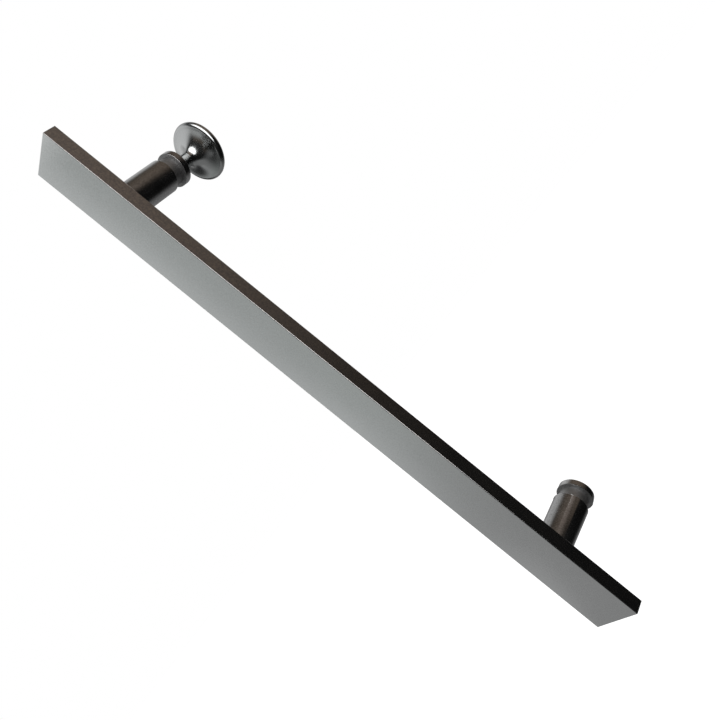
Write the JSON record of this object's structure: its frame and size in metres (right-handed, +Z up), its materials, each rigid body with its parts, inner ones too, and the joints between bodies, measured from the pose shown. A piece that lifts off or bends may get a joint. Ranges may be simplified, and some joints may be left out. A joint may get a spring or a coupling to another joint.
{
  "type": "door pull handle",
  "caption": "Flat-bar door pull in dark polished metal on round grooved posts, with a turned trumpet knob on the far side of the upper post.",
  "frame": {"origin": "midway between the two fixing centres, on the plane where the posts meet the door", "axes": "+Z up along the bar towards the knob's end, +Y into the door, X across the bar's flat face"},
  "size_m": [0.0364, 0.0785, 0.4],
  "materials": {
    "bar_metal": "polished dark nickel, lightly satin",
    "post_metal": "polished dark nickel",
    "knob_metal": "mirror polished dark nickel",
    "stud_steel": "bare turned steel"
  },
  "bodies": {
    "root": {"pull_bar": "bar_metal", "upper_post": "post_metal", "lower_post": "post_metal", "upper_bar_stud": "stud_steel", "lower_bar_stud": "stud_steel", "knob": "knob_metal", "knob_stud": "stud_steel"}
  },
  "joints": []
}
